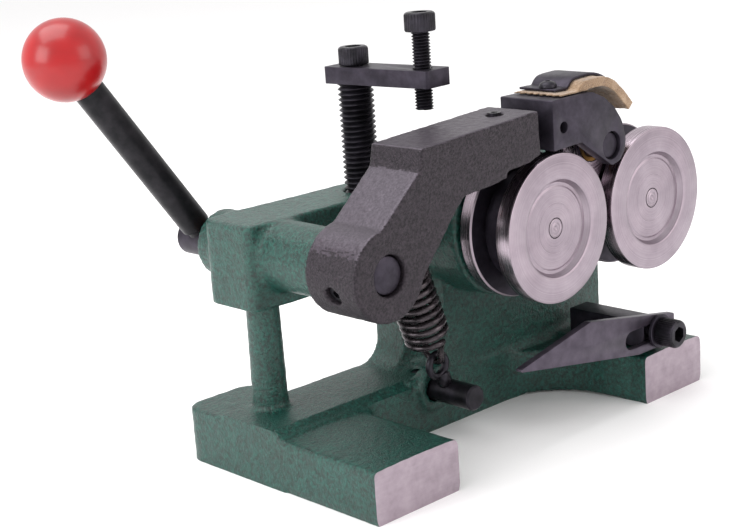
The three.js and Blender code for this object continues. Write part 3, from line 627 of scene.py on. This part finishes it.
DRUM = 18.7         # radius of the drum between two discs, mm
spacer = turned("spacer", [(6.2, 0), (DRUM - 0.4, 0), (DRUM, 0.4), (DRUM, 9.5),
                           (DRUM - 0.4, 9.9), (6.2, 9.9), (6.2, 0)], 96)
paint(spacer, black_oxide)
pulley = turned("pulley", [(6.2, 0), (12.7, 0), (13, 0.3), (13, 1), (11.1, 2.9),
                           (10.2, 4.0), (10.2, 5.0), (11.1, 6.1), (13, 8), (13, 8.7),
                           (12.7, 9), (6.2, 9), (6.2, 0)], 64)
paint(pulley, black_oxide)
for side in SIDES:
    put_disc(copy_of(spacer, f"{side}_gap_spacer"), side, "disc_spacer", f"{side}_roll",
             "black_oxide")
    put_disc(copy_of(pulley, f"{side}_belt_pulley"), side, "pulley", f"{side}_roll",
             "black_oxide")
bpy.data.objects.remove(spacer)
bpy.data.objects.remove(pulley)

# %% [markdown]
# ## Shaft, lever and ball
# The arm's shaft is drawn bar with chamfered ends. The lever is a bar of 10 mm whose thin end
# sits in a cross hole of the shaft, and the ball is screwed on its other end. The ball
# has a small moulding nick.

# %% Turn the shaft and the lever
shaft_low, shaft_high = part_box("arm_shaft")
shaft_length = (shaft_high[1] - shaft_low[1]) / MM
shaft = turned("hub_shaft", [(0, 0.1), (5.2, 0.1), (5.7, 0.3), (6, 0.7), (6, shaft_length - 0.8),
                             (5.3, shaft_length), (0, shaft_length)], 64)
paint(shaft, black_oxide)
put(shaft, (shaft_x, shaft_low[1], shaft_z))
finish_piece(shaft, "arm", "black_oxide", "arm_shaft", sharp=25)

LEVER_TILT = math.radians(35.4)
REACH, BALL = 80.6, 12.8      # from the shaft's axis to the ball's centre, ball radius, mm
lever_along = (-math.sin(LEVER_TILT), 0, math.cos(LEVER_TILT))
lever_root = (shaft_x, box_centre("lever_rod").y, shaft_z)
rod = turned("lever_bar", [(0, 1.5), (3.7, 1.5), (4, 1.8), (4, 6.5), (4.6, 6.6), (5, 7.1),
                           (5, REACH - BALL + 8.8), (0, REACH - BALL + 8.8)], 48)
paint(rod, rod_black)
put(rod, lever_root, lever_along)
finish_piece(rod, "arm", "black_oxide", "lever_rod", sharp=25)

# %% [markdown]
# The ball starts as a UV sphere. Its lowest faces are pulled up to a flat collar round the
# rod, and one patch on its side is pushed in for the nick.

# %% Mould the ball
bpy.ops.object.select_all(action="DESELECT")
bpy.ops.mesh.primitive_uv_sphere_add(segments=64, ring_count=40, radius=BALL * MM)
ball = bpy.context.active_object
ball.name = "red_ball_knob"
select(ball, lambda v: v.co.z < -0.9 * BALL * MM, "VERT")
bpy.ops.transform.resize(value=(1, 1, 0), center_override=(0, 0, -0.9 * BALL * MM))
bpy.ops.object.mode_set(mode="OBJECT")
NICK = Vector((-0.15, -0.74, -0.66)).normalized() * BALL * MM
select(ball, lambda v: (v.co - NICK).length < 1.1 * MM, "VERT")
bpy.ops.transform.resize(value=(0.975, 0.975, 0.975), center_override=(0, 0, 0))
bpy.ops.object.mode_set(mode="OBJECT")
paint(ball, red_plastic)
put(ball, Vector(lever_root) + Vector(lever_along) * REACH * MM, lever_along)
finish_piece(ball, "arm", "red_plastic", "lever_ball", sharp=40)

# %% [markdown]
# ## Screw threads
# A thread is one tooth of the section carried round and up. The Screw modifier does that
# with a short chain of three points, and two cuts with a filled plane trim its ends.
# The post is M12 with a pitch of 1.75 mm, and the small screws are M6 with 1 mm.

# %% Cut a thread
def threaded(name, radius, pitch, length, steps=32):
    """A threaded bar of that length along Z, its lower end at the origin, in mm."""
    depth = 0.6 * pitch
    turns = math.ceil(length / pitch) + 2
    tooth = [(radius - depth, -pitch), (radius, -0.56 * pitch), (radius, -0.44 * pitch),
             (radius - depth, 0)]
    obj = chain([(r * MM, 0, z * MM) for r, z in tooth])
    obj.name = name
    bpy.ops.object.mode_set(mode="OBJECT")
    apply_modifier(obj, "SCREW", axis="Z", screw_offset=pitch * MM, iterations=turns,
                   steps=steps, render_steps=steps, use_merge_vertices=True,
                   merge_threshold=0.01 * MM)
    for height, normal in ((0, (0, 0, -1)), (length * MM, (0, 0, 1))):
        bpy.ops.object.mode_set(mode="EDIT")
        bpy.ops.mesh.select_all(action="SELECT")
        bpy.ops.mesh.remove_doubles(threshold=0.01 * MM)
        bpy.ops.mesh.bisect(plane_co=(0, 0, height), plane_no=normal, use_fill=True,
                            clear_outer=True)
        bpy.ops.mesh.select_all(action="SELECT")
        bpy.ops.mesh.normals_make_consistent(inside=False)
        bpy.ops.object.mode_set(mode="OBJECT")
    return obj


def joined(name, *parts):
    """Join several meshes into one object."""
    only(parts[0])
    for part in parts:
        part.select_set(True)
    bpy.ops.object.join()
    parts[0].name = name
    return parts[0]


post = threaded("threaded_post", 6.0, 1.75, (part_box("stop_post")[1][2]
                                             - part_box("stop_post")[0][2]) / MM)
paint(post, screw_black)
put(post, (box_centre("stop_post").x, box_centre("stop_post").y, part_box("stop_post")[0][2]),
    (0, 0, 1))
finish_piece(post, "frame", "black_oxide", "stop_post", sharp=30)

# %% [markdown]
# ## Socket head screws
# The head of such a screw is knurled: fine straight ridges for the fingers. A turned head
# gets its ridges by drawing every second column of its side inwards, and a six-sided
# cutter takes out the socket.

# %% Make a socket head screw
def socket_cut(obj, across, top, depth):
    """Cut a hexagon socket, across its flats and depth in mm, into the top of a piece."""
    bpy.ops.object.select_all(action="DESELECT")
    bpy.ops.mesh.primitive_cylinder_add(vertices=6, radius=across / math.sqrt(3) * MM,
                                        depth=2 * depth * MM, location=(0, 0, top * MM))
    cutter = bpy.context.active_object
    bpy.ops.object.transform_apply(location=True)
    apply_modifier(obj, "BOOLEAN", operation="DIFFERENCE", object=cutter, solver="EXACT")
    bpy.data.objects.remove(cutter)


def cap_screw(name, length, head=5.0, head_height=6.0, ridges=36):
    """An M6 socket head screw, its tip at the origin and its head on top, in mm."""
    top = length + head_height
    cap = turned(name, [(0, length - 0.5), (2.6, length - 0.5), (2.6, length),
                        (head - 0.25, length), (head, length + 0.4),
                        (head, top - 0.9), (head - 0.25, top - 0.35), (head - 0.8, top),
                        (0, top)], 2 * ridges)
    low, high = (length + 0.3) * MM, (top - 0.8) * MM
    select(cap, lambda v: low < v.co.z < high
           and round(math.atan2(v.co.y, v.co.x) / math.pi * ridges) % 2 == 0
           and math.hypot(v.co.x, v.co.y) > (head - 0.1) * MM, "VERT")
    bpy.ops.transform.resize(value=(0.955, 0.955, 1), center_override=(0, 0, 0))
    bpy.ops.object.mode_set(mode="OBJECT")
    socket_cut(cap, 5.0, top, 3.2)
    return joined(name, cap, threaded(name + "_thread", 3.0, 1.0, length, 24))


def put_screw(name, node, length, body, along, tip, **sizes):
    """Make a cap screw and put its tip at a point of its CAD node's box."""
    screw = cap_screw(name, length, **sizes)
    paint(screw, screw_black)
    put(screw, tip, along)
    finish_piece(screw, body, "black_oxide", node, sharp=25)


def end_point(node, axis, high):
    """The middle of one end of a node's box: axis 0, 1 or 2, at its high or low side."""
    point = box_centre(node)
    point[axis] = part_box(node)[1 if high else 0][axis]
    return point


put_screw("post_screw", "post_cap_screw", 16, "frame", (0, 0, 1),
          end_point("post_cap_screw", 2, False))
put_screw("adjusting_screw", "stop_adjusting_screw", 25, "stop_screw", (0, 0, 1),
          end_point("stop_adjusting_screw", 2, False))
put_screw("pointer_cap_screw", "pointer_screw", 16, "frame", (0, -1, 0),
          end_point("pointer_screw", 1, True), head_height=7.0)

# %% [markdown]
# ## Sawn and milled black pieces
# The bracket, the stop bar, the pointer and its support are flat stock, sawn and milled, so
# their CAD shape is right and only needs its edges broken. A narrow bevel on every edge
# sharper than 30 degrees catches the light as the real broken edge does.

# %% Break the edges of the flat pieces
def edged(node, name, body, material, slot_name, width=0.3):
    """A copy of a CAD node with every sharp edge bevelled by width mm."""
    obj = cad_copy(node, name)
    apply_modifier(obj, "BEVEL", width=width * MM, segments=2, limit_method="ANGLE",
                   angle_limit=math.radians(30), use_clamp_overlap=True)
    paint(obj, material)
    finish_piece(obj, body, slot_name, node, sharp=40)
    return obj


edged("fork_bracket", "nip_bracket", "nip_fork", black_oxide, "black_oxide", 0.35)
edged("stop_bar", "swinging_bar", "swing_stop", black_oxide, "black_oxide", 0.4)
edged("pointer_plate", "pointer_blade", "pointer", pointer_black, "black_oxide", 0.2)
edged("pointer_support", "pointer_block", "frame", black_oxide, "black_oxide", 0.4)
edged("crank_arm", "crank_web", "left_roll", black_oxide, "black_oxide", 0.4)
edged("crank_nut", "crank_hex_nut", "left_roll", black_oxide, "black_oxide", 0.3)
edged("flap_clamp_plate", "flap_strap", "nip_fork", black_oxide, "black_oxide", 0.15)

# %% [markdown]
# ## Small turned pieces
# The washer, the nip roller with its axle, the flap's round-head screw, the pins and the
# crank's pin and knob are turned. Each is one profile in millimetres.

# %% Turn the small pieces
small = {
    "pointer_washer": ("pointer_flat_washer", "pointer_pivot", "black_oxide", black_oxide,
                       (0, 1, 0), [(3.3, 0), (5.8, 0), (6, 0.2), (6, 1.2), (5.8, 1.4),
                                   (3.3, 1.4), (3.3, 0)]),
    "nip_roller": ("nip_wheel_rim", "nip_wheel", "turned_steel", disc_rim, (0, 1, 0),
                   [(6.4, 0), (13.8, 0), (14.3, 0.5), (14.3, 8.3), (13.8, 8.8), (6.4, 8.8),
                    (6.4, 0)]),
    "nip_axle": ("nip_pin", "nip_fork", "black_oxide", black_oxide, (0, 1, 0),
                 [(0, 0), (3.7, 0), (4.2, 0.2), (4.5, 0.7), (4.5, 19.6), (4.1, 20),
                  (0, 20)]),
    "spring_anchor_pin": ("anchor_bar", "frame", "black_oxide", screw_black, (0, 1, 0),
                          [(0, 0), (3.7, 0), (4.3, 0.6), (4.3, 28.6), (3.9, 29), (0, 29)]),
    "spring_peg": ("hook_peg", "arm", "black_oxide", screw_black, (0, 1, 0),
                   [(0, 0), (3, 0), (3, 18.5), (4.2, 18.6), (4.2, 20), (3.8, 20.4),
                    (0, 20.4)]),
    "crank_pin": ("crank_shoulder_pin", "left_roll", "black_oxide", black_oxide, (0, 1, 0),
                  [(0, 0), (2.5, 0), (2.5, 19.6), (4.5, 19.7), (4.5, 21.4), (4.2, 21.7),
                   (0, 21.7)]),
    "crank_knob": ("crank_grip", "knob", "black_plastic", black_plastic, (0, 1, 0),
                   [(2.8, 0), (4.4, 0), (5.1, 0.7), (5.5, 3), (6, 8), (5.9, 13), (5.6, 16),
                    (5.2, 17.6), (4.9, 18), (4.9, 14.7), (2.8, 14.7), (2.8, 0)]),
}
for node, (name, body, slot_name, material, along, profile) in small.items():
    obj = turned(name, profile, 48)
    paint(obj, material)
    put(obj, end_point(node, 1, False), along)
    finish_piece(obj, body, slot_name, node, sharp=30)

head = turned("flap_round_head", [(0, 0), (1.7, 0), (1.7, 9), (3, 9), (2.97, 9.4),
                                  (2.7, 10.1), (2.1, 10.6), (1.2, 11.0), (0, 11.1)], 48)
socket_cut(head, 1.7, 11.1, 1.5)
paint(head, screw_black)
put(head, end_point("flap_screw", 2, False), (0, 0, 1))
finish_piece(head, "nip_fork", "black_oxide", "flap_screw", sharp=35)

# %% [markdown]
# ## Spring, eye and belt
# Round wire is drawn as its centre line and then given a thickness. The line is a chain of
# vertices that becomes a curve with a round bevel, and then a mesh again. The spring is
# wound with a small gap, its lower hook goes through the eye and its upper one round the peg.

# %% Wind the spring
def wire(name, points, radius, closed=False):
    """A round wire of that radius in mm along the points, in metres."""
    obj = chain(points)
    if closed:
        select(obj, lambda v: v.index in (0, len(points) - 1), "VERT")
        bpy.ops.mesh.edge_face_add()
    bpy.ops.object.mode_set(mode="OBJECT")
    only(obj)
    bpy.ops.object.convert(target="CURVE")
    obj = bpy.context.active_object
    obj.data.bevel_depth = radius * MM
    obj.data.bevel_resolution = 3
    obj.data.use_fill_caps = True
    bpy.ops.object.convert(target="MESH")
    obj = bpy.context.active_object
    obj.name = name
    bpy.ops.object.mode_set(mode="EDIT")
    bpy.ops.mesh.select_all(action="SELECT")
    bpy.ops.mesh.remove_doubles(threshold=0.001 * MM)
    bpy.ops.mesh.normals_make_consistent(inside=False)
    bpy.ops.object.mode_set(mode="OBJECT")
    return obj


WIRE, COIL = 1.1, 6.85         # radius of the wire and of the coil's centre line, mm
EYE_HOOK, PEG_HOOK = 3.6, 4.1  # radius of the lower and the upper hook, mm
LOW_HOOK, TOP_HOOK = 11.0, 9.5 # length taken by each hook, mm
CORNER_X, CORNER_Y = 82, 46.5  # from the base's left front corner to the origin, mm
EYE_X, EYE_Y, EYE_Z = 63.4, 34.6, 26.6  # the eye's centre, from that corner, mm
spring_low = Vector((EYE_X - CORNER_X, EYE_Y - CORNER_Y, EYE_Z)) * MM
spring_top = box_centre("spring_peg")
spring_top.y = spring_low.y
spring_axis = (spring_top - spring_low).normalized()
SPRING_LENGTH = (spring_top - spring_low).length / MM
across = spring_axis.cross(Vector((0, 1, 0)))


def spring_point(side, back, along):
    """A point in the spring's own directions, in mm: sideways, to the back and along it."""
    return spring_low + (across * side + Vector((0, 1, 0)) * back + spring_axis * along) * MM


def arc(start, end, count):
    return [math.radians(start + (end - start) * i / count) for i in range(count + 1)]


TURNS = 16.75
coil_length = SPRING_LENGTH - LOW_HOOK - TOP_HOOK
path = [spring_point(0, EYE_HOOK * math.cos(a), 5.1 + EYE_HOOK * math.sin(a))
        for a in arc(50, -180, 12)]
path.append(spring_point(0, -4.9, 8.6))
per_turn = 20
for i in range(int(TURNS * per_turn) + 1):
    angle = math.radians(-90) + 2 * math.pi * i / per_turn
    path.append(spring_point(COIL * math.cos(angle), COIL * math.sin(angle),
                             LOW_HOOK + coil_length * i / (TURNS * per_turn)))
path.append(spring_point(-5.3, 0, SPRING_LENGTH - 6.0))
path += [spring_point(PEG_HOOK * math.cos(a), 0, SPRING_LENGTH + PEG_HOOK * math.sin(a))
         for a in arc(200, -50, 14)]
spring = wire("close_wound_spring", path, WIRE)
paint(spring, wire_black)
bpy.ops.object.shade_smooth()
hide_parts("tension_spring")
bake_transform(spring)
print("Spring of", TURNS, "turns, free length", round(SPRING_LENGTH, 1), "mm")

# %% [markdown]
# The eye screw is a ring with a short shank, bent from one wire, and the belt is one closed
# loop round both pulleys.

# %% Bend the eye and the belt
eye_down = (end_point("spring_anchor_pin", 1, False) - spring_low)
eye_down.y = 0
eye_down.normalize()
eye_across = eye_down.cross(Vector((0, 1, 0)))
eye_path = [spring_low + (eye_across * 3.9 * math.sin(a) - eye_down * 3.9 * math.cos(a)) * MM
            for a in arc(-176, 176, 32)]
eye = wire("eye_ring", eye_path, 1.3, closed=True)
shank = turned("eye_shank", [(0, 0), (2.4, 0), (2.6, 0.3), (2.6, 3.8), (1.8, 4.8), (0, 4.8)], 32)
put(shank, spring_low + eye_down * 8.2 * MM, -eye_down)
only(shank)
bpy.ops.object.transform_apply(location=True, rotation=True)
eye = joined("eye_screw", eye, shank)
paint(eye, screw_black)
finish_piece(eye, "frame", "black_oxide", "anchor_eye_screw", sharp=40)

belt_low, belt_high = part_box("drive_belt")
BELT = 2.1
run = (belt_high[2] - belt_low[2]) / 2 - BELT * MM
middle = box_centre("drive_belt")
ends = [belt_low[0] + BELT * MM + run, belt_high[0] - BELT * MM - run]
belt_path = [Vector((x + run * math.cos(a), middle.y, middle.z + run * math.sin(a)))
             for x, angles in ((ends[0], arc(90, 270, 24)), (ends[1], arc(-90, 90, 24)))
             for a in angles]
belt = wire("round_belt", belt_path, BELT, closed=True)
paint(belt, rubber)
finish_piece(belt, "frame", "belt_rubber", "drive_belt", sharp=60)

# %% [markdown]
# ## Leather flap
# The flap is cut from a thick hide and skived thin at its left end, where the screw and the
# strap hold it. Voxel remesh gives the CAD strip a skin of half-millimetre faces, Smooth
# rounds its cut edges, and a small noise moves the skin like the pebbles of a hide. The
# skived end is torn into short tongues by pulling its last vertices back by uneven steps.

# %% Drape the flap
HIDE_VOXEL = 0.45 * MM
TEAR = 2.2          # longest tongue torn into the skived end, mm
flap = cad_copy("leather_flap", "leather_strip")
apply_modifier(flap, "REMESH", mode="VOXEL", voxel_size=HIDE_VOXEL)
apply_modifier(flap, "SMOOTH", factor=0.5, iterations=3)
pebble = bpy.data.textures.new("leather_pebble", "CLOUDS")
pebble.noise_scale = 1.8 * MM
apply_modifier(flap, "DISPLACE", texture=pebble, strength=0.35 * MM, mid_level=0.8,
               texture_coords="LOCAL")
flap_low, flap_high = (Vector(corner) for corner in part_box("leather_flap"))
torn_to = flap_low.x + 2.5 * TEAR * MM
for vertex in flap.data.vertices:
    if vertex.co.x < torn_to:
        across_hide = vertex.co.y / MM
        tongue = 0.5 + 0.3 * math.sin(2.3 * across_hide) + 0.2 * math.sin(5.1 * across_hide)
        share = (torn_to - vertex.co.x) / (torn_to - flap_low.x)
        vertex.co.x += tongue * TEAR * MM * share
paint(flap, leather)
paint(flap, leather_edge, lambda f: abs(f.normal.y) > 0.7
      or f.center.x > flap_high.x - 2.5 * MM and f.normal.z < 0.1)
finish_piece(flap, "nip_fork", "leather", "leather_flap", sharp=60)

# %% [markdown]
# ## Pieces that keep their CAD shape
# Bearings, bushes, washers, rings and set screws sit inside the others. Their CAD shape is
# right, so they only get the finish of their real material.

# %% Finish the hidden pieces
hidden = {
    bronze: ["shaft_bush_front", "shaft_bush_rear", "left_thrust_washer",
             "right_thrust_washer", "nip_bush"],
    bearing_steel: ["left_bearing_front", "left_bearing_rear", "right_bearing_front",
                    "right_bearing_rear"],
    wire_black: ["left_snap_ring", "right_snap_ring"],
    screw_black: ["hub_set_screw", "bracket_set_screw"],
}
for material, nodes in hidden.items():
    for node in nodes:
        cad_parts[node].data.materials.clear()
        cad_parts[node].data.materials.append(material)
shown = [name for name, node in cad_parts.items() if not node.hide_render]
print("CAD shapes kept:", len(shown), "of", len(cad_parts))
